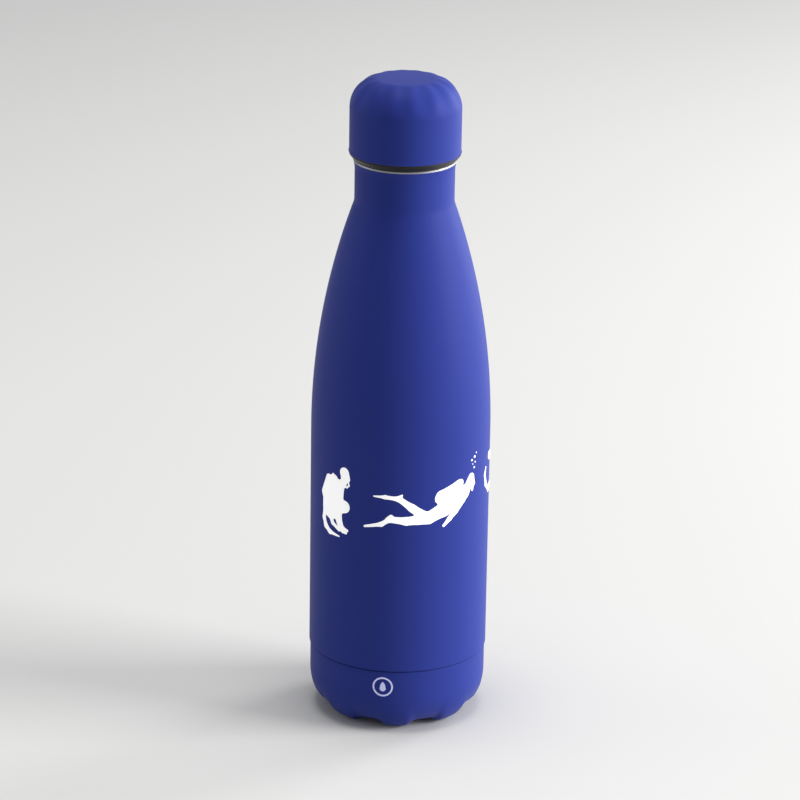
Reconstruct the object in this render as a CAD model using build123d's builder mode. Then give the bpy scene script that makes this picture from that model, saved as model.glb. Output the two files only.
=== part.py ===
from build123d import *
import os
from math import cos, radians, sin, sqrt

# Vacuum flask with a screw stopper: a double-walled steel bottle on a petal-shaped base,
# closed by a domed cap whose threaded plug screws into the neck.
# Millimetres, +Z up along the axis, origin at the centre of the surface that the feet stand on.

# ---------------------------------------------------------------- driving dimensions
total_height = 260.0
body_radius = 35.5
cylinder_top = 118.3        # the straight wall ends here and the shoulder's arc starts
shoulder_arc = 275.6        # radius of the long arc from the wall to the neck
neck_radius = 19.45
neck_fillet = 7.0           # hollow where the shoulder runs into the neck
mouth_radius = 20.05        # the rolled steel lip, slightly wider than the neck
lip_top = 228.0
lip_height = 0.8
lip_rounding = 0.4
flare = 0.5                 # the neck widens by this much under the lip
flare_bottom = 223.6

sheet = 0.4                 # drawn steel sheet
vacuum_gap = 2.3            # between the two walls of the body
neck_gap = 1.5              # the same, in the neck
seam_z = 27.4               # lower edge of the outer shell, over the base cup

# base cup
cup_radius = 35.06
cup_wall = 0.5
cup_straight = 16.0         # the cup's side is straight down to here
foot_outer = 24.8
foot_inner = 22.4
dome_rise = 5.0             # how far the middle of the base is pushed up
lobe_count = 8
arch_height = 2.3           # arches between the feet
arch_radius = 14.0
arch_slope = 26.0           # degrees, the arches rise outwards
arch_length = 30.0          # long enough to cut right through the cup's side

# inner flask
floor_z = 37.2              # underside of the inner flask's bottom
floor_weld_z = 44.0         # its weld to the flask's wall
neck_thread_z = 213.5
neck_thread_height = 9.5
plug_thread_height = 8.0

# screw thread: two starts
thread_lead = 8.0
thread_starts = 2
thread_depth = 1.2
thread_root = 1.8           # width of a ridge where it leaves the wall
thread_crest = 1.0
running_gap = 0.35

# cap
cap_radius = 21.7
cap_bottom = 230.7
cap_shoulder_z = 248.2
cap_flat_radius = 10.65
cap_wall = 0.8
flute_count = 14
flute_shift = 2.4           # the flutes' arc is centred this far in from the shoulder's
flute_tool = 14.0           # radius of a flute's hollow
first_flute = -68.9         # degrees, angle of the first flute
bead_out = 0.2
bead_height = 0.9
plug_bottom = 205.0
plug_wall = 1.6
moulding = 1.4              # wall of the cap's plastic parts

os.makedirs("parts", exist_ok=True)


# ---------------------------------------------------------------- shared shapes
def flask_face(body_inset, neck_inset, bottom_z, top_z):
    """Half outline of the bottle, moved in from its outer surface, filled to the axis."""
    body_r = body_radius - body_inset
    neck_r = neck_radius - neck_inset
    arc_r = shoulder_arc - body_inset
    arc_x = body_radius - shoulder_arc
    neck_z = cylinder_top + sqrt(arc_r**2 - (neck_r - arc_x) ** 2)
    mid_z = (cylinder_top + neck_z) / 2
    mid_r = arc_x + sqrt(arc_r**2 - (mid_z - cylinder_top) ** 2)
    with BuildSketch(Plane.XZ) as face:
        with BuildLine():
            Polyline((0, top_z), (0, bottom_z), (body_r, bottom_z), (body_r, cylinder_top))
            ThreePointArc((body_r, cylinder_top), (mid_r, mid_z), (neck_r, neck_z))
            Polyline((neck_r, neck_z), (neck_r, top_z), (0, top_z))
        make_face()
        neck_corner = face.vertices().sort_by_distance((neck_r, neck_z))[0]
        fillet(neck_corner, neck_fillet + neck_inset)
    return face.sketch


def thread_ridges(wall_radius, inwards, bottom_z, height):
    """Helical ridges on a round wall, one for each start, rooted just inside the wall."""
    side = -1 if inwards else 1
    root_r = wall_radius - side * sheet / 2
    crest_r = wall_radius + side * thread_depth
    with BuildPart() as ridge:
        with BuildLine():
            turn = Helix(thread_lead, height, wall_radius, center=(0, 0, bottom_z))
        with BuildSketch(Plane(turn @ 0, x_dir=(1, 0, 0), z_dir=turn % 0)):
            with BuildLine():
                Polyline(
                    (root_r - wall_radius, -thread_root / 2),
                    (crest_r - wall_radius, -thread_crest / 2),
                    (crest_r - wall_radius, thread_crest / 2),
                    (root_r - wall_radius, thread_root / 2),
                    close=True,
                )
            make_face()
        sweep(path=turn, is_frenet=True)
    with BuildPart() as ridges:
        with PolarLocations(0, thread_starts):
            add(ridge.part)
    return ridges.part


def cup_form(inset):
    """The base cup's outside, or its inside when inset: turned form less the arches."""
    dome_r = (foot_inner**2 + dome_rise**2) / (2 * dome_rise)
    inner_r = dome_r + inset
    foot_r = sqrt(inner_r**2 - (dome_r - dome_rise + inset) ** 2)
    half = foot_r / 2
    half_z = dome_rise - dome_r + sqrt(inner_r**2 - half**2)
    side_r = cup_radius - inset
    cutter_r = arch_radius + inset
    tilt = radians(arch_slope)
    slope_x = foot_outer + arch_radius * sin(tilt) + cos(tilt) * arch_length / 3
    slope_z = arch_height - arch_radius * cos(tilt) + sin(tilt) * arch_length / 3
    with BuildPart() as form:
        with BuildSketch(Plane.XZ):
            with BuildLine():
                ThreePointArc((0, dome_rise + inset), (half, half_z), (foot_r, inset))
                Line((foot_r, inset), (foot_outer, inset))
                EllipticalCenterArc(
                    (foot_outer, cup_straight),
                    side_r - foot_outer,
                    cup_straight - inset,
                    start_angle=270,
                )
                Polyline((side_r, cup_straight), (side_r, seam_z), (0, seam_z), (0, dome_rise + inset))
            make_face()
        revolve(axis=Axis.Z)
        with PolarLocations(0, lobe_count, start_angle=90 - 180 / lobe_count):
            with Locations(Location((arch_length / 2, 0, arch_height - arch_radius), (0, 90, 0))):
                Cylinder(cutter_r, arch_length, mode=Mode.SUBTRACT)
            with Locations(Location((slope_x, 0, slope_z), (0, 90 - arch_slope, 0))):
                Cylinder(cutter_r, arch_length, mode=Mode.SUBTRACT)
    return form.part


def cap_face(inset, bottom_z):
    """Half outline of the domed cap, moved in from its outer surface."""
    side_r = cap_radius - inset
    top_z = total_height - inset
    with BuildSketch(Plane.XZ) as face:
        with BuildLine():
            Polyline((cap_flat_radius, top_z), (0, top_z), (0, bottom_z), (side_r, bottom_z))
            Line((side_r, bottom_z), (side_r, cap_shoulder_z))
            EllipticalCenterArc(
                (cap_flat_radius, cap_shoulder_z),
                side_r - cap_flat_radius,
                top_z - cap_shoulder_z,
                start_angle=0,
            )
        make_face()
    return face.sketch


# ---------------------------------------------------------------- outer shell
wall_end = lip_top - lip_height
shell_outside = flask_face(0, 0, seam_z, wall_end)
shell_inside = flask_face(sheet, sheet, seam_z, wall_end)
flare_radius = neck_radius + flare

with BuildPart() as outer_shell:
    revolve(shell_outside, axis=Axis.Z)
    with BuildSketch(Plane.XZ):
        with BuildLine():
            TangentArc((neck_radius, flare_bottom), (flare_radius, wall_end), tangent=(0, 1))
            Polyline((flare_radius, wall_end), (0, wall_end), (0, flare_bottom))
            Line((0, flare_bottom), (neck_radius, flare_bottom))
        make_face()
    revolve(axis=Axis.Z)
    revolve(shell_inside, axis=Axis.Z, mode=Mode.SUBTRACT)
outer_shell.part.label = "outer_shell"
export_step(outer_shell.part, "parts/outer_shell.step")

# ---------------------------------------------------------------- base cup
# The cup's rim is joggled in, so that it slides up inside the outer shell.
cup_outside = cup_form(0)
cup_inside = cup_form(cup_wall)
joggle_radius = body_radius - sheet
joggle_height = 3.0
seam_groove = 0.25
groove_depth = 0.3

with BuildPart() as base_cup:
    add(cup_outside)
    with BuildSketch(Plane.XY.offset(seam_z - seam_groove)):
        Circle(joggle_radius)
    extrude(amount=joggle_height + seam_groove)
    with BuildSketch(Plane.XY.offset(seam_z - seam_groove)):
        Circle(cup_radius + 1)
        Circle(joggle_radius - groove_depth, mode=Mode.SUBTRACT)
    extrude(amount=seam_groove, mode=Mode.SUBTRACT)
    with BuildSketch(Plane.XY.offset(cup_straight)):
        Circle(joggle_radius - cup_wall)
    extrude(amount=seam_z + joggle_height - cup_straight, mode=Mode.SUBTRACT)
    add(cup_inside, mode=Mode.SUBTRACT)
base_cup.part.label = "base_cup"
export_step(base_cup.part, "parts/base_cup.step")

# ---------------------------------------------------------------- vacuum end
# The dish that closes the vacuum space. Its small hole is where the air was drawn out.
end_z = 33.4
end_skirt = 2.8
end_rounding = 1.5
end_radius = body_radius - sheet - 0.05
exhaust_radius = 1.0

with BuildPart() as vacuum_end:
    with BuildSketch(Plane.XY.offset(end_z - end_skirt)):
        Circle(end_radius)
    extrude(amount=end_skirt + sheet)
    fillet(vacuum_end.faces().sort_by(Axis.Z)[-1].edges(), end_rounding)
    offset(amount=-sheet, openings=vacuum_end.faces().sort_by(Axis.Z)[0])
    with Locations((0, 0, end_z)):
        Cylinder(exhaust_radius, 3 * sheet, mode=Mode.SUBTRACT)
vacuum_end.part.label = "vacuum_end"
export_step(vacuum_end.part, "parts/vacuum_end.step")

# ---------------------------------------------------------------- exhaust seal
# A bead of solder glass that melted over the hole, under the dish.
glass_radius = 3.5
glass_height = 1.6

with BuildPart() as exhaust_seal:
    with BuildSketch(Plane.XZ):
        with BuildLine():
            Polyline((0, end_z - glass_height), (0, end_z + sheet), (exhaust_radius, end_z + sheet))
            Polyline((exhaust_radius, end_z + sheet), (exhaust_radius, end_z), (glass_radius, end_z))
            EllipticalCenterArc((0, end_z), glass_radius, glass_height, start_angle=270)
        make_face()
    revolve(axis=Axis.Z)
exhaust_seal.part.label = "exhaust_seal"
export_step(exhaust_seal.part, "parts/exhaust_seal.step")

# ---------------------------------------------------------------- getter
# A pressed metal pellet in a stamped holder mops up the last gas in the vacuum.
getter_x = 15.0
pellet_radius = 4.0
pellet_height = 1.4
pellet_chamfer = 0.3
holder_floor = 0.2
holder_wall = 0.4
holder_height = 1.2
foot_length = 16.0          # the strip that is welded to the dish
foot_width = 4.0
holder_top = end_z + sheet + holder_floor
on_floor = (Align.CENTER, Align.CENTER, Align.MIN)

with BuildPart() as getter_holder:
    with Locations((getter_x, 0, end_z + sheet)):
        Cylinder(pellet_radius + holder_wall, holder_height, align=on_floor)
        Box(foot_length, foot_width, holder_floor, align=on_floor)
    with Locations((getter_x, 0, holder_top)):
        Cylinder(pellet_radius, holder_height, align=on_floor, mode=Mode.SUBTRACT)
getter_holder.part.label = "getter_holder"
export_step(getter_holder.part, "parts/getter_holder.step")

with BuildPart() as getter_pellet:
    with Locations((getter_x, 0, holder_top)):
        Cylinder(pellet_radius, pellet_height, align=on_floor)
    chamfer(getter_pellet.faces().sort_by(Axis.Z)[-1].edges(), pellet_chamfer)
getter_pellet.part.label = "getter_pellet"
export_step(getter_pellet.part, "parts/getter_pellet.step")

# ---------------------------------------------------------------- inner flask
# The thread is rolled into its neck, and its rim is rolled out over the outer shell's edge.
flask_inset = sheet + vacuum_gap
flask_neck_inset = sheet + neck_gap
flask_outside = flask_face(flask_inset, flask_neck_inset, floor_weld_z, lip_top)
flask_inside = flask_face(flask_inset + sheet, flask_neck_inset + sheet, floor_weld_z, lip_top)
bore_radius = neck_radius - flask_neck_inset - sheet
neck_ridges = thread_ridges(bore_radius, True, neck_thread_z, neck_thread_height)
mouth_rounding = 0.6

with BuildPart() as inner_flask:
    revolve(flask_outside, axis=Axis.Z)
    with BuildSketch(Plane.XZ) as lip:
        with BuildLine():
            Polyline((0, wall_end), (mouth_radius, wall_end), (mouth_radius, lip_top))
            Polyline((mouth_radius, lip_top), (0, lip_top), (0, wall_end))
        make_face()
        fillet(lip.vertices().sort_by_distance((mouth_radius, lip_top))[0], lip_rounding)
    revolve(axis=Axis.Z)
    revolve(flask_inside, axis=Axis.Z, mode=Mode.SUBTRACT)
    mouth_edge = inner_flask.edges().filter_by(GeomType.CIRCLE).sort_by(Axis.Z).group_by(Axis.Z)[-1]
    fillet(mouth_edge.sort_by(SortBy.RADIUS)[0], mouth_rounding)
    add(neck_ridges)
inner_flask.part.label = "inner_flask"
export_step(inner_flask.part, "parts/inner_flask.step")

# ---------------------------------------------------------------- inner bottom
bottom_rounding = 5.0

with BuildPart() as inner_bottom:
    with BuildSketch(Plane.XY.offset(floor_z)):
        Circle(body_radius - flask_inset)
    extrude(amount=floor_weld_z - floor_z)
    fillet(inner_bottom.faces().sort_by(Axis.Z)[0].edges(), bottom_rounding)
    offset(amount=-sheet, openings=inner_bottom.faces().sort_by(Axis.Z)[-1])
inner_bottom.part.label = "inner_bottom"
export_step(inner_bottom.part, "parts/inner_bottom.step")

# ---------------------------------------------------------------- copper foil
# Radiation shield wrapped round the inner flask, inside the vacuum.
foil_gap = 0.3
foil_sheet = 0.1
foil_inset = flask_inset - foil_gap - foil_sheet
foil_bottom = 47.0
foil_top = 195.0
foil_outside = flask_face(foil_inset, flask_neck_inset, foil_bottom, wall_end)
foil_inside = flask_face(foil_inset + foil_sheet, flask_neck_inset, foil_bottom, wall_end)

with BuildPart() as copper_foil:
    revolve(foil_outside, axis=Axis.Z)
    revolve(foil_inside, axis=Axis.Z, mode=Mode.SUBTRACT)
    split(bisect_by=Plane.XY.offset(foil_top), keep=Keep.BOTTOM)
copper_foil.part.label = "copper_foil"
export_step(copper_foil.part, "parts/copper_foil.step")

# ---------------------------------------------------------------- seal ring
# Flat silicone ring that the cap squeezes onto the lip.
plug_radius = bore_radius - thread_depth - running_gap
seal_bottom = lip_top + 0.05
seal_top = 229.2
seal_outer = mouth_radius - 0.65
seal_inner = plug_radius + 0.08
seal_rounding = 0.3

with BuildPart() as seal_ring:
    with BuildSketch(Plane.XY.offset(seal_bottom)):
        Circle(seal_outer)
        Circle(seal_inner, mode=Mode.SUBTRACT)
    extrude(amount=seal_top - seal_bottom)
    fillet(seal_ring.edges().filter_by(GeomType.CIRCLE), seal_rounding)
seal_ring.part.label = "seal_ring"
export_step(seal_ring.part, "parts/seal_ring.step")

# ---------------------------------------------------------------- cap liner
# Black moulding: threaded plug with a closed end, bevelled flange over the lip, and a skirt
# that fits inside the cap shell. It is open at the top, where the foam goes in.
skirt_radius = cap_radius - cap_wall
skirt_top = 247.0
flange_bottom = lip_top + 0.35
flange_top = cap_bottom + 0.2
plug_bore = plug_radius - plug_wall
recess_radius = seal_outer + 0.2
flange_inner = mouth_radius - 0.3
flange_outer = mouth_radius + 0.15
bevel_radius = cap_radius - 0.1
band_height = 0.7           # upright band between the cap shell and the bevel
plug_rounding = 1.0
bore_rounding = 0.8
plug_ridges = thread_ridges(plug_radius, False, neck_thread_z + thread_lead / 4, plug_thread_height)

with BuildPart() as cap_liner:
    with BuildSketch(Plane.XZ) as liner_face:
        with BuildLine():
            Polyline(
                (0, plug_bottom),
                (plug_radius, plug_bottom),
                (plug_radius, seal_top),
                (recess_radius, seal_top),
                (flange_inner, flange_bottom),
                (flange_outer, flange_bottom),
                (bevel_radius, cap_bottom - band_height),
                (bevel_radius, cap_bottom),
                (skirt_radius, cap_bottom),
                (skirt_radius, skirt_top),
                (skirt_radius - moulding, skirt_top),
                (skirt_radius - moulding, flange_top),
                (plug_bore, flange_top),
                (plug_bore, plug_bottom + moulding),
                (0, plug_bottom + moulding),
                close=True,
            )
        make_face()
        fillet(liner_face.vertices().sort_by_distance((plug_radius, plug_bottom))[0], plug_rounding)
        bore_corner = liner_face.vertices().sort_by_distance((plug_bore, plug_bottom + moulding))[0]
        fillet(bore_corner, bore_rounding)
    revolve(axis=Axis.Z)
    add(plug_ridges)
cap_liner.part.label = "cap_liner"
export_step(cap_liner.part, "parts/cap_liner.step")

# ---------------------------------------------------------------- foam core
foam_clearance = 0.15
foam_bottom = plug_bottom + moulding + bore_rounding
foam_shoulder = flange_top + foam_clearance
lid_bottom = skirt_top - moulding

with BuildPart() as foam_core:
    with BuildSketch(Plane.XY.offset(foam_bottom)):
        Circle(plug_bore - foam_clearance)
    extrude(amount=foam_shoulder - foam_bottom)
    with BuildSketch(Plane.XY.offset(foam_shoulder)):
        Circle(skirt_radius - moulding - foam_clearance)
    extrude(amount=lid_bottom - foam_clearance - foam_shoulder)
foam_core.part.label = "foam_core"
export_step(foam_core.part, "parts/foam_core.step")

# ---------------------------------------------------------------- liner lid
# Disc welded into the skirt over the foam, level with the skirt's top.
lid_chamfer = 0.3

with BuildPart() as liner_lid:
    with BuildSketch(Plane.XY.offset(lid_bottom)):
        Circle(skirt_radius - moulding)
    extrude(amount=moulding)
    chamfer(liner_lid.faces().sort_by(Axis.Z)[-1].edges(), lid_chamfer)
liner_lid.part.label = "liner_lid"
export_step(liner_lid.part, "parts/liner_lid.step")

# ---------------------------------------------------------------- cap shell
# Shallow flutes run down the shoulder. Each is cut by a ring lying in a plane through the axis,
# whose centre is moved in from the shoulder's, so that the flute fades at both ends.
flute_reach = (total_height - cap_shoulder_z) + flute_shift * sin(radians(45))
flute_centre_r = cap_flat_radius - flute_shift * cos(radians(45))
flute_centre_z = cap_shoulder_z - flute_shift * sin(radians(45))
flute_sweep = 100           # degrees, from inside the flat top to below the shoulder
bead_rounding = 0.18
cap_outside = cap_face(0, cap_bottom)
cap_inside = cap_face(cap_wall, cap_bottom)

with BuildPart() as flute_cutter:
    with BuildSketch(Plane.XY.offset(flute_centre_z)):
        with Locations((flute_centre_r + flute_reach + flute_tool, 0)):
            Circle(flute_tool)
    revolve(axis=Axis((flute_centre_r, 0, flute_centre_z), (0, -1, 0)), revolution_arc=flute_sweep)

with BuildPart() as cap_shell:
    revolve(cap_outside, axis=Axis.Z)
    with BuildSketch(Plane.XY.offset(cap_bottom)):
        Circle(cap_radius + bead_out)
    extrude(amount=bead_height)
    rim = cap_shell.edges().filter_by(GeomType.CIRCLE).sort_by(SortBy.RADIUS)[-2:]
    fillet(rim, bead_rounding)
    with PolarLocations(0, flute_count, start_angle=first_flute):
        add(flute_cutter.part, mode=Mode.SUBTRACT)
    revolve(cap_inside, axis=Axis.Z, mode=Mode.SUBTRACT)
cap_shell.part.label = "cap_shell"
export_step(cap_shell.part, "parts/cap_shell.step")

pieces = [outer_shell, base_cup, vacuum_end, exhaust_seal, getter_holder, getter_pellet, inner_flask]
pieces += [inner_bottom, copper_foil, seal_ring, cap_liner, foam_core, liner_lid, cap_shell]
for piece in pieces:
    print(piece.part.label, round(piece.part.volume), "mm3", len(piece.part.solids()), "solid")
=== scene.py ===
# %% [markdown]
# # A double-walled steel bottle
#
# The bottle stands on a pale floor in soft light. Its working parts come packed from CAD as a fixed
# frame. This lesson dresses them: the painted skins are turned from half outlines by one Geometry
# Nodes tree, the white figures are flat ink laid round the wall, and every finish is a node material.

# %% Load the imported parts
import math
import bpy
import numpy as np
from mathutils import Euler, Matrix, Vector


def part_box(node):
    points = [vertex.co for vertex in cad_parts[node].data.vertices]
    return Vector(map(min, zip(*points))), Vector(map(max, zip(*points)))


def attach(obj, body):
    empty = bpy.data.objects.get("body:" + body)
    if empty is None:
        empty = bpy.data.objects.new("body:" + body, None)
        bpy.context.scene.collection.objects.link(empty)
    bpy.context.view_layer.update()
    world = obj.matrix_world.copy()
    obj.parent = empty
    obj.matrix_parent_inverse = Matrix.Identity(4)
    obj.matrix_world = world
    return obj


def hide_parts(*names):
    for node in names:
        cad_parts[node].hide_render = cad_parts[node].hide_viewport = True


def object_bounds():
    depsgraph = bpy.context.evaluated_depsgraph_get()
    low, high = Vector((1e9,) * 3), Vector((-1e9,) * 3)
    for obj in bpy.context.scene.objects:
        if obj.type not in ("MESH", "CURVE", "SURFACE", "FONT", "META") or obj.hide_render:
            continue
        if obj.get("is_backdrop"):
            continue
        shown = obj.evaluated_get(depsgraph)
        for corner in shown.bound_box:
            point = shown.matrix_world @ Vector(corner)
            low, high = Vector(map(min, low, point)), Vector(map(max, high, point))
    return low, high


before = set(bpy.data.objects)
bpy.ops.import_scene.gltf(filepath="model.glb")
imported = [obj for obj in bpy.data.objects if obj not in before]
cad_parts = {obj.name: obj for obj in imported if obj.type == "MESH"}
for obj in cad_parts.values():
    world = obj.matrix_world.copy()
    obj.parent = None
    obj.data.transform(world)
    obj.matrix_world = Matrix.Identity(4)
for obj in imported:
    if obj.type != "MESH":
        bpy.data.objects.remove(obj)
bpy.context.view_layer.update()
MM = 0.001

# %% [markdown]
# ## Camera
#
# A long lens from a little above, as for a product shot. The camera stands on the -Y side and looks
# slightly down, with a small roll, so that the bottle leans very slightly to the right.

# %% Camera
CAMERA_AT = (-0.00045, -1.4434, 0.6421)
CAMERA_DOWN = 19.579
CAMERA_ROLL = 0.928
CAMERA_LENS = 174.7

camera = bpy.data.objects.new("camera", bpy.data.cameras.new("camera"))
bpy.context.scene.collection.objects.link(camera)
camera.data.lens = CAMERA_LENS
camera.data.sensor_width = 36.0
looking = Euler((math.radians(90 - CAMERA_DOWN), 0, 0)).to_matrix().to_4x4()
camera.matrix_world = (
    Matrix.Translation(CAMERA_AT) @ looking @ Matrix.Rotation(math.radians(CAMERA_ROLL), 4, "Z")
)
bpy.context.scene.camera = camera
bpy.context.scene.view_settings.view_transform = "Standard"

# %% [markdown]
# ## Node arithmetic
#
# Both materials and Geometry Nodes are graphs of sockets. This small class wraps one socket, so that
# a sum such as `0.47 + 0.08 * peel` adds its own Math nodes. Any other node comes from `node`.

# %% Node arithmetic
def plug(socket, value):
    """Links a wrapped socket to an input, or sets the input's own value."""
    if isinstance(value, Sock):
        socket.id_data.links.new(value.out, socket)
    else:
        socket.default_value = value


class Sock:
    """One output socket, in a shader tree or a geometry tree, that takes part in sums."""

    def __init__(self, out):
        self.out = out
        self.tree = out.id_data

    def node(self, kind, settings=(), inputs=(), pick=0):
        """Adds a node: its settings first, then its inputs by name or number."""
        made = self.tree.nodes.new(kind)
        for key, value in dict(settings).items():
            setattr(made, key, value)
        for key, value in dict(inputs).items():
            plug(made.inputs[key], value)
        return Sock(made.outputs[pick])

    def maths(self, operation, *others):
        return self.node("ShaderNodeMath", {"operation": operation}, enumerate((self, *others)))

    def __add__(self, other):
        return self.maths("ADD", other)

    def __sub__(self, other):
        return self.maths("SUBTRACT", other)

    def __mul__(self, other):
        return self.maths("MULTIPLY", other)

    def __pow__(self, other):
        return self.maths("POWER", other)

    __radd__ = __add__
    __rmul__ = __mul__

    def xyz(self, axis):
        return self.node("ShaderNodeSeparateXYZ", inputs={0: self}, pick="XYZ".index(axis))


# %% [markdown]
# ## Finishes
#
# Each finish starts from the object's own coordinates, in metres, so that grain and mottling have
# their real size. `grain` is noise whose features are about `size` wide. `finish` makes the
# material and hands its coordinates to a short function, which returns what varies over the surface.

# %% Finish helpers
def grain(at, size, detail=2.0):
    """Noise from 0 to 1 with features about `size` metres wide."""
    inputs = {"Vector": at, "Scale": 0.5 / size, "Detail": detail}
    return at.node("ShaderNodeTexNoise", {"noise_dimensions": "3D"}, inputs)


def tint(factor, dark, light):
    """Mixes two colours by a wrapped factor."""
    inputs = {0: factor, 6: (*dark, 1), 7: (*light, 1)}
    return factor.node("ShaderNodeMix", {"data_type": "RGBA"}, inputs, pick=2)


def bump(height, depth):
    """Turns a height of 0 to 1 into a surface normal, for relief `depth` metres deep."""
    return height.node("ShaderNodeBump", inputs={"Height": height, "Distance": depth})


def finish(name, vary, **fixed):
    """A Principled material. `vary` maps coordinates to what changes over the surface."""
    material = bpy.data.materials.new(name)
    material.use_nodes = True
    shader = material.node_tree.nodes["Principled BSDF"]
    coordinates = material.node_tree.nodes.new("ShaderNodeTexCoord")
    for key, value in fixed.items():
        shader.inputs[key.replace("_", " ")].default_value = value
    for key, value in vary(Sock(coordinates.outputs["Object"])).items():
        plug(shader.inputs[key], value)
    print("finish:", name, len(material.node_tree.nodes), "nodes")
    return material


def around(at, stretch):
    """Coordinates that follow turning marks: fine along the outline, long around the axis."""
    x, y, z = at.xyz("X"), at.xyz("Y"), at.xyz("Z")
    radius = (x * x + y * y) ** 0.5
    angle = y.maths("ARCTAN2", x)
    inputs = {0: radius, 1: angle * stretch, 2: z}
    return at.node("ShaderNodeCombineXYZ", inputs=inputs)


# %% [markdown]
# The paint is a matte powder coat. The powder melts into a skin that is never quite flat: a soft
# orange peel under a millimetre wide, with a finer tooth on it that spreads the highlight.

# %% Powder coat
PAINT_DARK = (0.0165, 0.0285, 0.190)
PAINT_LIGHT = (0.0195, 0.0325, 0.210)


def powder_coat(at):
    cloud = grain(at, 25 * MM)
    speck = grain(at, 0.25 * MM, detail=1.0)
    peel = grain(at, 0.9 * MM)
    return {
        "Base Color": tint(cloud * 0.7 + speck * 0.3, PAINT_DARK, PAINT_LIGHT),
        "Roughness": 0.47 + 0.08 * peel + 0.04 * cloud,
        "Normal": bump(peel * 0.7 + speck * 0.3, 0.02 * MM),
    }


paint = finish("powder_coat", powder_coat, Specular_IOR_Level=0.06, Sheen_Weight=0.045)

# %% [markdown]
# The lip and the inside of the flask are bare steel, spun and brushed, so the marks run round the
# axis. The noise is sampled in turned coordinates: short along the outline, long around it.

# %% Bare metals
def brushed(at):
    marks = grain(around(at, 2 * MM), 0.12 * MM, detail=4.0)
    smear = grain(at, 6 * MM)
    return {
        "Base Color": tint(marks * 0.6 + smear * 0.4, (0.26, 0.26, 0.28), (0.40, 0.40, 0.42)),
        "Roughness": 0.36 + 0.16 * marks,
        "Normal": bump(marks, 0.006 * MM),
    }


def crinkled(at):
    folds = at.node("ShaderNodeTexVoronoi", inputs={"Vector": at, "Scale": 120.0})
    haze = grain(at, 8 * MM)
    return {
        "Base Color": tint(haze, (0.62, 0.27, 0.15), (0.80, 0.42, 0.28)),
        "Roughness": 0.18 + 0.2 * haze,
        "Normal": bump(folds, 0.08 * MM),
    }


def pressed_powder(at):
    pores = grain(at, 0.15 * MM, detail=3.0)
    return {
        "Base Color": tint(pores, (0.10, 0.10, 0.105), (0.24, 0.24, 0.25)),
        "Roughness": 0.6 + 0.2 * pores,
        "Normal": bump(pores, 0.03 * MM),
    }


steel = finish("brushed_steel", brushed, Metallic=1.0)
copper = finish("copper_foil", crinkled, Metallic=1.0)
getter = finish("getter_metal", pressed_powder, Metallic=0.7)

# %% [markdown]
# The cap's flange and plug are black polypropylene, with the fine spark texture of the mould and a
# few rubbed spots. The seal is cloudy silicone, the foam has open cells, and the exhaust hole's bead
# is dark glass.

# %% Mouldings, silicone, foam, glass
def black_plastic(at):
    spark = grain(at, 0.2 * MM, detail=3.0)
    rubbed = grain(at, 5 * MM) ** 3.0
    return {
        "Base Color": tint(spark * 0.4 + rubbed * 0.6, (0.010, 0.010, 0.009), (0.032, 0.031, 0.028)),
        "Roughness": 0.34 + 0.16 * spark,
        "Normal": bump(spark, 0.02 * MM),
    }


def cloudy(at):
    milk = grain(at, 3 * MM)
    dust = grain(at, 0.3 * MM)
    return {
        "Base Color": tint(milk, (0.55, 0.56, 0.55), (0.70, 0.71, 0.69)),
        "Roughness": 0.42 + 0.15 * dust,
        "Normal": bump(dust, 0.01 * MM),
    }


def cells(at):
    walls = at.node("ShaderNodeTexVoronoi", inputs={"Vector": at, "Scale": 900.0})
    tone = grain(at, 10 * MM)
    return {
        "Base Color": tint(tone, (0.74, 0.72, 0.66), (0.84, 0.83, 0.78)),
        "Roughness": 0.8 + 0.1 * tone,
        "Normal": bump(walls, 0.25 * MM),
    }


def fired_glass(at):
    streak = grain(at, 1.2 * MM, detail=4.0)
    return {
        "Base Color": tint(streak, (0.035, 0.022, 0.012), (0.10, 0.06, 0.03)),
        "Roughness": 0.08 + 0.1 * streak,
        "Normal": bump(streak, 0.02 * MM),
    }


black = finish("black_moulding", black_plastic, Specular_IOR_Level=0.2)
silicone = finish("silicone", cloudy, Subsurface_Weight=0.2)
foam = finish("foam", cells)
glass = finish("solder_glass", fired_glass, Coat_Weight=0.3)

# %% [markdown]
# The figures are screen-printed in thick white ink. Ink pulls back a little as it dries, so it is
# mottled at the scale of the mesh that it was pressed through. A weak emission is painted light: it
# makes the ink shine brighter than the lamps alone would light it.

# %% Ink
def screen_ink(light, painted_glow):
    def vary(at):
        mesh_marks = grain(at, 0.35 * MM, detail=1.0)
        mottle = grain(at, 4 * MM)
        dark = tuple(0.95 * c for c in light)
        return {
            "Base Color": tint(mottle * 0.5 + mesh_marks * 0.5, dark, light),
            "Roughness": 0.5 + 0.12 * mesh_marks,
            # Emission Color: painted light, so the ink shines by itself
            "Emission Color": tint(mottle, tuple(0.92 * c for c in painted_glow), painted_glow),
            "Normal": bump(mesh_marks, 0.012 * MM),
        }

    return vary


bright = screen_ink((0.95, 0.95, 0.95), (1.0, 0.98, 0.96))
pale_blue = screen_ink((0.55, 0.57, 0.82), (0.5, 0.55, 1.0))
# Emission Strength is painted light on both inks, which are no lamps
white_ink = finish("white_ink", bright, Emission_Strength=0.3)
mark_ink = finish("mark_ink", pale_blue, Emission_Strength=0.1)

# %% [markdown]
# ## The turning tree
#
# Shell, base and cap are all pressed from a turned form, and two of them have a rule on top: petals
# round the foot and flutes round the cap. So one Geometry Nodes tree turns a half outline round the
# axis, and lets the outline swing between two shapes as it goes: one on the crests and one in the
# valleys. A grid has a row for each point of the outline and a column for each step of the turn,
# Sample Index looks the point up, and a cosine of the angle mixes the two shapes. Squareness flattens
# the cosine's crests and valleys and steepens the slopes between them, without a hard corner.

# %% Turning tree
WELD = 0.002 * MM
SLOPE_FROM, SLOPE_TO = 0.25, 0.75


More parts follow.
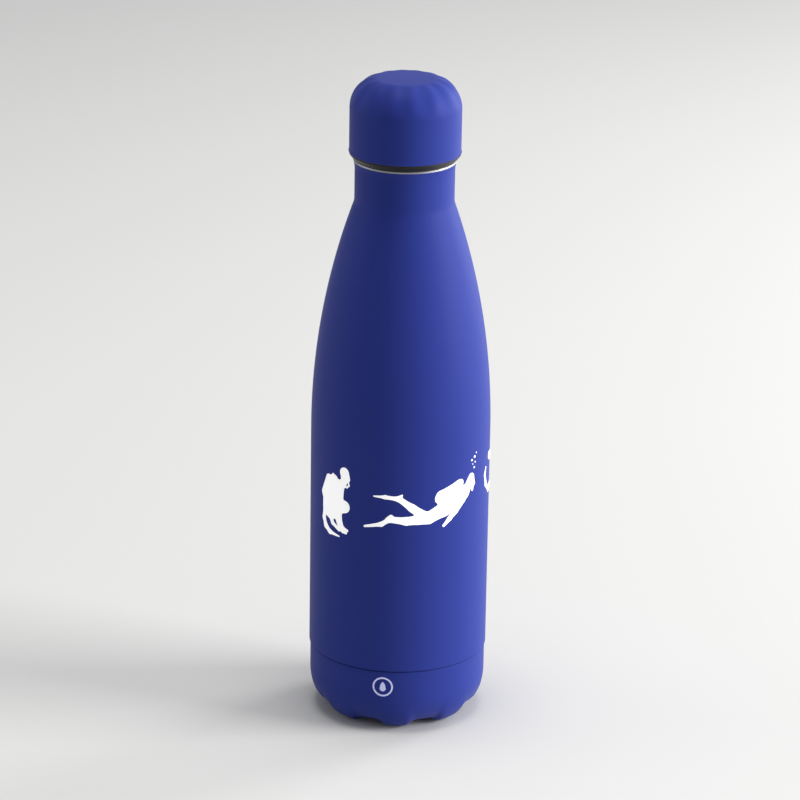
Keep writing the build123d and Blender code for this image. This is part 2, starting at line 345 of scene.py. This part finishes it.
def turning_tree():
    tree = bpy.data.node_groups.new("turned_form", "GeometryNodeTree")
    face = tree.interface
    face.new_socket("Geometry", in_out="INPUT", socket_type="NodeSocketGeometry")
    face.new_socket("Valleys", in_out="INPUT", socket_type="NodeSocketObject")
    for name in ("Steps", "Crests"):
        face.new_socket(name, in_out="INPUT", socket_type="NodeSocketInt")
    for name in ("First Crest", "Squareness", "Sharp Angle"):
        face.new_socket(name, in_out="INPUT", socket_type="NodeSocketFloat")
    face.new_socket("Material", in_out="INPUT", socket_type="NodeSocketMaterial")
    face.new_socket("Geometry", in_out="OUTPUT", socket_type="NodeSocketGeometry")
    entry = tree.nodes.new("NodeGroupInput")
    given = {socket.name: Sock(socket) for socket in entry.outputs if socket.name}
    crest_line = given["Geometry"]
    add = crest_line.node

    rows = add("GeometryNodeAttributeDomainSize", {"component": "MESH"}, {0: crest_line})
    size = {"Size X": 1.0, "Size Y": 1.0, "Vertices X": rows, "Vertices Y": given["Steps"] + 1}
    grid = add("GeometryNodeMeshGrid", inputs=size)
    place = add("GeometryNodeInputPosition")
    row = ((place.xyz("X") + 0.5) * (rows - 1)).maths("ROUND")
    angle = (place.xyz("Y") + 0.5) * math.tau

    def looked_up(line):
        settings = {"data_type": "FLOAT_VECTOR", "domain": "POINT"}
        inputs = {"Geometry": line, "Value": place, "Index": row}
        return add("GeometryNodeSampleIndex", settings, inputs)

    valleys = add("GeometryNodeObjectInfo", inputs={"Object": given["Valleys"]}, pick=4)
    wave = ((angle - given["First Crest"]) * given["Crests"]).maths("COSINE") * 0.5 + 0.5
    slope = {"Value": wave, "From Min": SLOPE_FROM, "From Max": SLOPE_TO}
    square = add("ShaderNodeMapRange", {"interpolation_type": "SMOOTHSTEP"}, slope)
    wave = wave + (square - wave) * given["Squareness"]
    blend = {0: wave, 4: looked_up(valleys), 5: looked_up(crest_line)}
    point = add("ShaderNodeMix", {"data_type": "VECTOR"}, blend, pick=1)
    turned = {
        0: point.xyz("X") * angle.maths("COSINE"),
        1: point.xyz("X") * angle.maths("SINE"),
        2: point.xyz("Z"),
    }
    spun = add("ShaderNodeCombineXYZ", inputs=turned)
    form = add("GeometryNodeSetPosition", inputs={"Geometry": grid, "Position": spun})
    form = add("GeometryNodeMergeByDistance", inputs={"Geometry": form, "Distance": WELD})
    smooth = {"Geometry": form, "Shade Smooth": True}
    form = add("GeometryNodeSetShadeSmooth", {"domain": "FACE"}, smooth)
    bend = add("GeometryNodeInputMeshEdgeAngle")
    sharp = bend.maths("GREATER_THAN", given["Sharp Angle"])
    crease = {"Geometry": form, "Selection": sharp, "Shade Smooth": False}
    form = add("GeometryNodeSetShadeSmooth", {"domain": "EDGE"}, crease)
    form = add("GeometryNodeRealizeInstances", inputs={"Geometry": form})
    dressed = {"Geometry": form, "Material": given["Material"]}
    form = add("GeometryNodeSetMaterial", inputs=dressed)
    tree.links.new(form.out, tree.nodes.new("NodeGroupOutput").inputs[0])
    return tree


turned_form = turning_tree()
print("turning tree:", len(turned_form.nodes), "nodes")

# %% [markdown]
# An outline is a list of points (radius, height) in millimetres. `arc` adds a round or elliptic
# stretch, and `sheet_metal` gives the outline its thickness, as a closed loop: out along the outer
# skin and back along the inner one.

# %% Outlines
def arc(centre, radii, start, end, steps=12):
    """Points on an arc, from one angle to another in degrees."""
    angles = np.radians(np.linspace(start, end, steps + 1))
    return [(centre[0] + radii[0] * math.cos(a), centre[1] + radii[1] * math.sin(a)) for a in angles]


def inwards(points):
    """Unit vectors square to the outline, on its left side as it runs."""
    along = np.gradient(np.asarray(points, float), axis=0)
    along /= np.linalg.norm(along, axis=1)[:, None]
    return np.column_stack([-along[:, 1], along[:, 0]])


def sheet_metal(points, thickness):
    """A closed loop round a sheet whose outer side is the outline."""
    inner = np.asarray(points) + inwards(points) * thickness
    inner[:, 0] = np.maximum(inner[:, 0], 0)
    return [*map(tuple, points), *map(tuple, inner[::-1]), tuple(points[0])]


def line_object(name, points):
    """The outline as a wire in the XZ plane, for the tree to read."""
    wire = bpy.data.meshes.new(name)
    ends = [(i, i + 1) for i in range(len(points) - 1)]
    wire.from_pydata([(r * MM, 0, z * MM) for r, z in points], ends, [])
    return bpy.data.objects.new(name, wire)


SHARP_ANGLE = math.radians(38)


def turn(name, crest, material, valley=None, crests=0, first=0.0, square=0.0, steps=256):
    """Runs the turning tree on one or two outlines, and keeps the result as a plain mesh."""
    carrier = line_object(name + "_crest", crest)
    valleys = line_object(name + "_valley", valley or crest)
    for helper in (carrier, valleys):
        bpy.context.scene.collection.objects.link(helper)
    modifier = carrier.modifiers.new("turned_form", "NODES")
    modifier.node_group = turned_form
    values = {
        "Valleys": valleys,
        "Steps": steps,
        "Crests": crests,
        "First Crest": math.radians(first),
        "Squareness": square,
        "Sharp Angle": SHARP_ANGLE,
        "Material": material,
    }
    for socket in turned_form.interface.items_tree:
        if socket.in_out == "INPUT" and socket.name in values:
            modifier[socket.identifier] = values[socket.name]
    graph = bpy.context.evaluated_depsgraph_get()
    mesh = bpy.data.meshes.new_from_object(carrier.evaluated_get(graph))
    for helper in (carrier, valleys):
        bpy.data.objects.remove(helper)
    return finished(name, mesh, "turned")


def finished(name, mesh, how):
    """Links a mesh as a piece, with its faces turned outwards."""
    corners = np.empty(len(mesh.vertices) * 3)
    mesh.vertices.foreach_get("co", corners)
    mesh.calc_loop_triangles()
    triangles = np.empty(len(mesh.loop_triangles) * 3, int)
    mesh.loop_triangles.foreach_get("vertices", triangles)
    a, b, c = corners.reshape(-1, 3)[triangles.reshape(-1, 3)].transpose(1, 0, 2)
    volume = np.einsum("ij,ij->", a, np.cross(b, c)) / 6
    if volume < 0:
        mesh.flip_normals()
    piece = bpy.data.objects.new(name, mesh)
    bpy.context.scene.collection.objects.link(piece)
    print(f"{how}: {name}, {len(mesh.loop_triangles)} triangles, {abs(volume) * 1e9:.0f} mm3")
    return piece


# %% [markdown]
# ## The painted shell
#
# A straight wall, one long arc for the shoulder, a short hollow into the neck, and a slight flare
# under the steel lip. The arc and the wall share a tangent, so the light runs over the join without
# a break. The paint rounds the cut edge over the seam.

# %% Painted shell
BODY_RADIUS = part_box("outer_shell")[1][0] / MM
SHELL_FOOT, SHELL_TOP = (corner[2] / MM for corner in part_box("outer_shell"))
INK = 0.05
SHELL_RADIUS = BODY_RADIUS - INK
CYLINDER_TOP = 118.3
SHOULDER_ARC = 275.6
NECK_RADIUS = 19.45
NECK_FILLET = 7.0
FLARE_FOOT = 223.6
FLARE_RADIUS = 19.95
SHEET = 0.4
EDGE = 0.15


def shell_outline():
    centre = (SHELL_RADIUS - SHOULDER_ARC, CYLINDER_TOP)
    # The fillet's centre is a fillet's radius outside both the shoulder's arc and the neck.
    hollow_r = NECK_RADIUS + NECK_FILLET
    hollow_z = CYLINDER_TOP + math.sqrt((SHOULDER_ARC + NECK_FILLET) ** 2 - (hollow_r - centre[0]) ** 2)
    lean = math.degrees(math.atan2(hollow_z - CYLINDER_TOP, hollow_r - centre[0]))
    points = arc((SHELL_RADIUS - EDGE, SHELL_FOOT + EDGE), (EDGE, EDGE), -90, 0, 4)
    points += [(SHELL_RADIUS, z) for z in np.linspace(SHELL_FOOT + 1, CYLINDER_TOP, 12)[:-1]]
    points += arc(centre, (SHOULDER_ARC, SHOULDER_ARC), 0, lean, 48)
    points += arc((hollow_r, hollow_z), (NECK_FILLET, NECK_FILLET), 180 + lean, 180, 6)[1:]
    rise, flare = SHELL_TOP - EDGE - FLARE_FOOT, FLARE_RADIUS - NECK_RADIUS
    points += [(NECK_RADIUS + flare * t * t, FLARE_FOOT + rise * t) for t in np.linspace(0, 1, 9)]
    return points + [(FLARE_RADIUS - EDGE, SHELL_TOP)]


shell = turn("painted_shell", sheet_metal(shell_outline(), SHEET), paint)
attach(shell, "bottle")
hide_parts("outer_shell")

# %% [markdown]
# ## The petal foot
#
# The base cup's side is straight, then a quarter ellipse brings it in to eight feet. Between the
# feet the same ellipse stops higher up and opens into arches. These are the two outlines that the
# tree swings between, and a little squareness gives each foot a flat sole. Behind the feet a shallow
# dome rises to the middle. The shoulder at the top leaves the narrow dark seam under the shell.

# %% Petal foot
CUP_RADIUS = 35.06 - INK
CUP_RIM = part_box("base_cup")[1][2] / MM
CUP_SHOULDER = SHELL_FOOT - 0.5
CUP_STRAIGHT = 16.0
CUP_SHEET = 0.5
JOGGLE = BODY_RADIUS - SHEET
GROOVE = 34.4
DOME_HEIGHT = 5.0
FEET = 8
FOOT_RADIUS, FOOT_INSIDE = 24.8, 22.4
ARCH_RADIUS, ARCH_INSIDE, ARCH_HEIGHT = 24.4, 21.5, 2.35
FOOT_SQUARENESS = 0.75
FRONT = -90.0
RIM_ROUNDING = 0.2


def cup_outline(foot_radius, foot_height, inner_radius):
    """Outline from the rim down to the feet, or to the arches, and in to the middle."""
    rim_edge = (CUP_RADIUS - RIM_ROUNDING, CUP_SHOULDER - RIM_ROUNDING)
    points = [(JOGGLE, CUP_RIM), (JOGGLE, SHELL_FOOT + 0.1), (GROOVE, SHELL_FOOT - 0.05)]
    points += arc(rim_edge, (RIM_ROUNDING, RIM_ROUNDING), 90, 0, 4)
    points += [(CUP_RADIUS, z) for z in np.linspace(CUP_SHOULDER - 1, CUP_STRAIGHT + 1, 8)]
    side = (CUP_RADIUS - foot_radius, CUP_STRAIGHT - foot_height)
    points += arc((foot_radius, CUP_STRAIGHT), side, 0, -90, 28)
    rise = DOME_HEIGHT - foot_height
    dome_r = (inner_radius**2 + rise**2) / (2 * rise)
    span = math.degrees(math.asin(inner_radius / dome_r))
    points += arc((0, DOME_HEIGHT - dome_r), (dome_r, dome_r), 90 - span, 90, 14)
    return points[::-1]


feet = sheet_metal(cup_outline(FOOT_RADIUS, 0.0, FOOT_INSIDE), CUP_SHEET)
arches = sheet_metal(cup_outline(ARCH_RADIUS, ARCH_HEIGHT, ARCH_INSIDE), CUP_SHEET)
petals = {"crests": FEET, "first": FRONT, "square": FOOT_SQUARENESS, "steps": 288}
cup = turn("petal_base", feet, paint, arches, **petals)
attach(cup, "bottle")
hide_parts("base_cup")

# %% [markdown]
# ## The fluted cap
#
# A short cylinder with a rolled rim and an elliptic shoulder up to a small flat top. The flutes sink
# into the shoulder only: in the valley outline each point moves in by a depth that swells from the
# side and fades at the flat's edge.

# %% Fluted cap
CAP_FOOT, CAP_TOP = (corner[2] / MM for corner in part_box("cap_shell"))
CAP_RADIUS = 21.7
CAP_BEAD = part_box("cap_shell")[1][0] / MM
CAP_SIDE_TOP = 248.2
CAP_FLAT = 10.65
CAP_SHEET = 0.8
CAP_CROWN = 0.12
FLUTES = 14
FLUTE_DEPTH = 0.27
FLUTE_FADE = 5.0
FIRST_RIDGE = FRONT + 8.2
BEAD_HALF = 0.3
BEAD_INSET = 0.1


def cap_outline(depth):
    bead = CAP_BEAD - CAP_RADIUS
    shoulder = (CAP_RADIUS - CAP_FLAT, CAP_TOP - CAP_CROWN - CAP_SIDE_TOP)
    points = [(CAP_RADIUS - 0.35, CAP_FOOT)]
    rolled = (CAP_RADIUS - BEAD_INSET, CAP_FOOT + BEAD_HALF)
    points += arc(rolled, (BEAD_INSET + bead, BEAD_HALF), -90, 60, 8)
    points += [(CAP_RADIUS, CAP_FOOT + 0.9)]
    points += [(CAP_RADIUS, z) for z in np.linspace(CAP_FOOT + 1.5, CAP_SIDE_TOP - 0.5, 8)]
    points += arc((CAP_FLAT, CAP_SIDE_TOP), shoulder, 0, 88, 40)
    inner = np.linspace(CAP_FLAT - 0.4, 0, 8)
    points += [(r, CAP_TOP - CAP_CROWN * (r / CAP_FLAT) ** 2) for r in inner]
    points = np.array(points)
    up = np.clip((points[:, 1] - CAP_SIDE_TOP) / FLUTE_FADE, 0, 1)
    out = np.clip((points[:, 0] - CAP_FLAT) / FLUTE_FADE, 0, 1)
    swell = up * up * (3 - 2 * up) * out * out * (3 - 2 * out)
    points += inwards(points) * (depth * swell)[:, None]
    return [tuple(p) for p in points]


ridges = sheet_metal(cap_outline(0.0), CAP_SHEET)
flutes = sheet_metal(cap_outline(FLUTE_DEPTH), CAP_SHEET)
cap = turn("fluted_cap", ridges, paint, flutes, FLUTES, FIRST_RIDGE, steps=336)
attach(cap, "cap")
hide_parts("cap_shell")

# %% [markdown]
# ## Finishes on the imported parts
#
# The other parts keep their CAD meshes, and only take a finish.

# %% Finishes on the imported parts
FINISHES = {
    "inner_flask": steel,
    "inner_bottom": steel,
    "vacuum_end": steel,
    "getter_holder": steel,
    "getter_pellet": getter,
    "copper_foil": copper,
    "exhaust_seal": glass,
    "cap_liner": black,
    "liner_lid": black,
    "seal_ring": silicone,
    "foam_core": foam,
}
for node, material in FINISHES.items():
    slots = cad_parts[node].data.materials
    slots.clear()
    slots.append(material)
print("finished nodes:", len(FINISHES))

# %% [markdown]
# ## Printed figures
#
# The print is a row of small divers: simple signs built from strokes that swell or taper, the way a
# sign painter would block them in. Each stroke is a capsule with a radius at either end. Their
# distances are joined by a soft minimum, which fills the armpits and knees like running ink. The
# drawing is cut out of a square grid along the line where that distance is zero, laid round the
# wall, and given the thickness of ink.

# %% Ink cutting
INK_CELL = 0.3
INK_FLOW = 0.3
PRINT_RADIUS = BODY_RADIUS - 0.005


def distance(points, strokes):
    """Soft distance from points to a set of strokes (x, y, radius, x, y, radius)."""
    total = np.zeros(len(points))
    for x0, y0, r0, x1, y1, r1 in strokes:
        start, run = np.array((x0, y0)), np.array((x1 - x0, y1 - y0))
        along = np.clip((points - start) @ run / max(run @ run, 1e-9), 0, 1)
        apart = np.linalg.norm(points - start - along[:, None] * run, axis=1)
        total += np.exp(-(apart - r0 - (r1 - r0) * along) / INK_FLOW)
    return -INK_FLOW * np.log(np.maximum(total, 1e-300))


def cut_out(field, low, high, cell):
    """Flat faces that cover where field(points) is negative, trimmed to its zero line."""
    nx, ny = (int(math.ceil((b - a) / cell)) + 1 for a, b in zip(low, high))
    grid = np.stack(np.meshgrid(np.arange(nx), np.arange(ny), indexing="ij"), -1).reshape(-1, 2)
    spots = np.array(low) + grid * cell
    value = field(spots).reshape(nx, ny)
    spots = spots.reshape(nx, ny, 2)
    points, number, faces = [], {}, []

    def corner(key, spot):
        if key not in number:
            number[key] = len(points)
            points.append(spot)
        return number[key]

    inside = value < 0
    touched = inside[:-1, :-1] | inside[1:, :-1] | inside[:-1, 1:] | inside[1:, 1:]
    for i, j in np.argwhere(touched):
        ring = [(i, j), (i + 1, j), (i + 1, j + 1), (i, j + 1)]
        face = []
        for here, there in zip(ring, ring[1:] + ring[:1]):
            a, b = value[here], value[there]
            if a < 0:
                face.append(corner(here, spots[here]))
            if (a < 0) != (b < 0):
                t = min(max(a / (a - b), 0.02), 0.98)
                key = (min(here, there), max(here, there))
                face.append(corner(key, spots[here] + t * (spots[there] - spots[here])))
        if len(face) > 2:
            faces.append(face)
    return np.array(points), faces


def lay_ink(name, points, faces, radius, material):
    """Lays a flat cut-out round the wall and gives it the thickness of ink."""
    pairs = ((a, b) for face in faces for a, b in zip(face, face[1:] + face[:1]))
    edges = dict.fromkeys(pairs)
    rim = [(a, b) for a, b in edges if (b, a) not in edges]
    count = len(points)
    skins = []
    for r in (radius, radius - INK):
        angle = points[:, 0] / radius - math.pi / 2
        skins += list(zip(r * MM * np.cos(angle), r * MM * np.sin(angle), points[:, 1] * MM))
    walls = [(b, a, a + count, b + count) for a, b in rim]
    backs = [[v + count for v in reversed(face)] for face in faces]
    mesh = bpy.data.meshes.new(name)
    mesh.from_pydata(skins, [], [*faces, *backs, *walls])
    mesh.validate()
    mesh.materials.append(material)
    return finished(name, mesh, "printed")


# %% [markdown]
# The strokes are in millimetres: across the wall, and up from the figure's own origin. `placed`
# moves, turns, mirrors and resizes a figure, so that three signs are enough for the whole row.

# %% Signs
SWIMMER = [
    # trailing leg with its fin, then the raised leg with its fin
    (-23.6, -8.4, 0.45, -16.8, -6.8, 0.85), (-16.8, -6.8, 0.85, -13.0, -4.2, 1.0),
    (-14.2, -4.6, 0.7, -13.0, -3.2, 0.6), (-13.4, -4.6, 1.2, -7.0, -5.2, 1.6),
    (-7.0, -5.2, 1.6, 2.0, -4.4, 2.4), (-20.0, 4.6, 0.25, -15.4, 4.6, 0.7),
    (-15.4, 4.6, 0.7, -10.0, 4.0, 0.9), (-10.4, 4.2, 0.9, -8.8, 5.6, 0.35),
    (-9.6, 3.8, 1.1, -4.8, 0.2, 1.5), (-4.8, 0.2, 1.5, 0.2, -3.6, 2.1),
    # back and chest
    (2.0, -4.2, 2.4, 8.5, -1.4, 3.1), (8.5, -1.4, 3.1, 16.0, 2.8, 3.7),
    (14.0, 1.2, 3.2, 18.6, 3.2, 2.7),
    # air tank on the back
    (6.4, 3.2, 1.9, 15.4, 7.4, 1.9), (7.0, 4.4, 2.0, 16.4, 8.0, 1.2),
    (6.4, 2.8, 1.6, 8.4, 0.6, 1.2),
    # neck, head, mask and mouthpiece
    (18.6, 4.0, 2.4, 21.4, 6.0, 1.7), (21.8, 7.0, 2.3, 22.4, 8.5, 1.8),
    (23.2, 7.0, 1.1, 24.0, 5.6, 0.9), (23.0, 4.6, 0.9, 23.1, 3.2, 0.6),
    # arm reaching down and back
    (17.4, 0.6, 1.6, 13.8, -3.2, 1.3), (13.8, -3.2, 1.3, 11.0, -6.0, 0.9),
    (11.0, -6.0, 0.9, 8.4, -8.4, 0.6),
]
KNEELER = [
    # head and mask, hose and mouthpiece
    (4.9, 12.2, 2.2, 5.2, 10.4, 2.0), (6.5, 11.0, 0.8, 6.9, 9.8, 0.7),
    (5.0, 9.4, 1.3, 4.2, 7.6, 1.8), (6.8, 9.0, 0.2, 7.2, 7.4, 0.2),
    (7.2, 7.4, 0.2, 6.2, 6.2, 0.25),
    # chest, belly and hips
    (1.6, 5.6, 3.2, 0.6, 0.8, 3.8), (0.2, 0.0, 3.9, -2.4, -4.6, 4.2),
    (-3.2, 1.0, 4.2, -3.8, -4.4, 3.7),
    # air tank, with its valve
    (-3.8, 8.0, 1.5, -6.4, 1.0, 2.0), (-1.6, 8.2, 1.6, -3.6, 1.0, 2.6),
    (-1.2, 10.2, 0.35, 0.6, 9.2, 0.6),
    # thigh and knee, shin, foot and toes
    (-1.0, -3.2, 3.0, 5.0, -1.9, 2.6), (1.4, -5.4, 2.4, 2.6, -9.0, 1.4),
    (2.6, -9.0, 1.4, 4.4, -11.8, 1.0), (4.4, -11.2, 0.8, 6.6, -11.6, 0.5),
    (4.4, -12.2, 0.8, 6.0, -12.8, 0.45),
    # the other shin
    (-2.6, -7.0, 1.2, -1.2, -10.2, 0.75), (-1.2, -10.2, 0.75, 2.4, -12.2, 0.7),
    # a long fin that curls under
    (-6.4, -6.6, 0.9, -6.7, -9.6, 1.0), (-6.7, -9.6, 1.0, -5.4, -12.6, 1.1),
    (-5.4, -12.6, 1.1, -2.8, -14.4, 0.9), (-2.8, -14.4, 0.9, 2.6, -15.0, 0.25),
]
FLOATER = [
    # a curved fin and its leg, and the other foot swept up behind
    (-16.8, 4.2, 0.35, -17.9, 1.4, 0.75), (-17.9, 1.4, 0.75, -16.6, -3.0, 0.9),
    (-16.6, -3.0, 0.9, -12.4, -6.6, 1.0), (-12.4, -6.6, 1.1, -3.0, -5.4, 2.1),
    (-11.8, 7.4, 1.7, -8.2, 6.8, 1.6), (-8.2, 6.8, 1.5, -4.0, 2.4, 1.6),
    (-4.0, 2.4, 1.6, -0.4, -2.6, 2.3),
    # back, chest and tank
    (-2.0, -4.2, 2.6, 6.0, -2.0, 3.6), (6.0, -2.0, 3.6, 13.0, -3.4, 3.2),
    (1.4, 3.2, 1.8, 10.6, 2.4, 2.1),
    # head and mask, arm held out in front
    (14.4, -3.0, 2.0, 17.4, -2.0, 2.3), (19.2, -3.4, 1.0, 19.0, -4.2, 0.8),
    (11.0, -4.6, 1.9, 13.6, -9.0, 1.3), (13.6, -9.0, 1.2, 19.4, -10.2, 0.6),
]


def placed(strokes, across, up, turned=0.0, flip=1, size=1.0):
    """A figure's strokes, resized, mirrored, turned and moved to their place on the wall."""
    c, s = math.cos(math.radians(turned)), math.sin(math.radians(turned))

    def spot(x, y):
        x, y = x * flip * size, y * size
        return across + c * x - s * y, up + s * x + c * y

    return [(*spot(x0, y0), r0 * size, *spot(x1, y1), r1 * size) for x0, y0, r0, x1, y1, r1 in strokes]


def bubbles(across, up):
    """A short trail of round bubbles that grow as they rise."""
    trail = [(0, 0, 0.42), (-1.0, 1.6, 0.26), (0.6, 2.1, 0.34)]
    trail += [(-1.6, 3.4, 0.44), (0.2, 4.4, 0.52), (1.3, 5.8, 0.3)]
    return [(across + x, up + y, r, across + x, up + y + 0.01, r) for x, y, r in trail]


# %% [markdown]
# The row runs right round the bottle, a little under its middle. Each figure is one piece of ink.

# %% Printed row
ROW = {
    "print_kneeler": placed(KNEELER, -28.2, 96.0),
    "print_swimmer": placed(SWIMMER, 9.8, 96.4),
    "print_bubbles": bubbles(34.0, 108.6),
    "print_floater": placed(FLOATER, 61.6, 101.0),
    "print_bubbles_far": bubbles(80.6, 104.6),
    "print_kneeler_back": placed(KNEELER, 107.0, 96.0, flip=-1),
    "print_swimmer_back": placed(SWIMMER, 144.0, 98.0, turned=9.0, size=0.95),
    "print_bubbles_back": bubbles(165.4, 114.0),
}
for name, strokes in ROW.items():
    ends = np.array([s[:2] for s in strokes] + [s[3:5] for s in strokes])
    reach = max(max(s[2], s[5]) for s in strokes) + 1.0
    low, high = ends.min(0) - reach, ends.max(0) + reach
    drawing = cut_out(lambda p, s=strokes: distance(p, s), low, high, INK_CELL)
    figure = lay_ink(name, *drawing, PRINT_RADIUS, white_ink)
    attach(figure, "bottle")

# %% [markdown]
# A plain round mark sits low on the base: a ring round a drop of water. It comes from the same
# cutter, with the ring as the distance from a circle and the drop as a stroke that tapers to a point.

# %% Round mark
MARK_ACROSS = -5.5
MARK_UP = 20.5
MARK_RADIUS = 3.75
MARK_LINE = 0.34
MARK_REACH = 5.0
MARK_CELL = 0.12


def mark(points):
    spots = points - (MARK_ACROSS, MARK_UP)
    ring = np.abs(np.linalg.norm(spots, axis=1) - MARK_RADIUS) - MARK_LINE
    drop = distance(spots, [(0, -0.65, 1.25, 0, 0.7, 0.75), (0, 0.7, 0.75, 0, 2.0, 0.1)])
    return np.minimum(ring, drop)


corner_low = (MARK_ACROSS - MARK_REACH, MARK_UP - MARK_REACH)
corner_high = (MARK_ACROSS + MARK_REACH, MARK_UP + MARK_REACH)
drawing = cut_out(mark, corner_low, corner_high, MARK_CELL)
badge = lay_ink("round_mark", *drawing, CUP_RADIUS + INK, mark_ink)
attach(badge, "bottle")

# %% [markdown]
# ## Floor and light
#
# The floor is a wide pale sheet with a trace of paper grain. One broad soft light stands far off on
# the right, level with the bottle, and lights that side; a second one behind it draws the long bright
# edge. A weak one lifts the left edge, a square one hangs overhead, and the pale surroundings fill
# the rest.

# %% Floor
def pale_floor(at):
    fibre = grain(at, 1.5 * MM, detail=3.0)
    cloud = grain(at, 300 * MM)
    return {
        "Base Color": tint(fibre * 0.3 + cloud * 0.7, (0.52, 0.515, 0.50), (0.56, 0.555, 0.54)),
        "Roughness": 0.6 + 0.1 * fibre,
        "Normal": bump(fibre, 0.02 * MM),
    }


FLOOR_HALF = 12.0
floor_mesh = bpy.data.meshes.new("floor")
corners = [(x * FLOOR_HALF, y * FLOOR_HALF, 0) for x, y in ((-1, -1), (1, -1), (1, 1), (-1, 1))]
floor_mesh.from_pydata(corners, [], [(0, 1, 2, 3)])
floor_mesh.materials.append(finish("pale_floor", pale_floor))
floor = bpy.data.objects.new("floor", floor_mesh)
bpy.context.scene.collection.objects.link(floor)
floor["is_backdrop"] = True

# %% Lights
SURROUNDINGS = (0.92, 0.94, 1.0)
SURROUNDINGS_STRENGTH = 0.4
AIM = (0.0, 0.0, 0.14)

world = bpy.data.worlds.new("surroundings")
world.use_nodes = True
background = world.node_tree.nodes["Background"]
background.inputs["Color"].default_value = (*SURROUNDINGS, 1)
background.inputs["Strength"].default_value = SURROUNDINGS_STRENGTH
bpy.context.scene.world = world


def soft_light(name, at, width, height, watts):
    """A rectangular area light that faces the bottle."""
    lamp = bpy.data.lights.new(name, "AREA")
    lamp.shape = "RECTANGLE"
    lamp.size, lamp.size_y, lamp.energy = width, height, watts
    holder = bpy.data.objects.new(name, lamp)
    bpy.context.scene.collection.objects.link(holder)
    holder.location = at
    holder.rotation_euler = (Vector(AIM) - Vector(at)).to_track_quat("-Z", "Y").to_euler()


soft_light("window_right", (2.4, -0.36, 0.77), 1.3, 1.8, 120)
soft_light("bounce_left", (-1.5, 0.2, 0.5), 0.8, 1.0, 4)
soft_light("rim_right", (1.1, 0.9, 0.5), 0.5, 1.0, 14)
soft_light("ceiling", (0.0, 0.0, 2.1), 1.0, 1.0, 24)

# %% [markdown]
#
# The box round the dressed bottle is printed, in millimetres. The dressed bottle has to stay inside
# the imported one.

low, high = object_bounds()
print("visual box:", [round(v / MM, 2) for v in (*low, *high)])
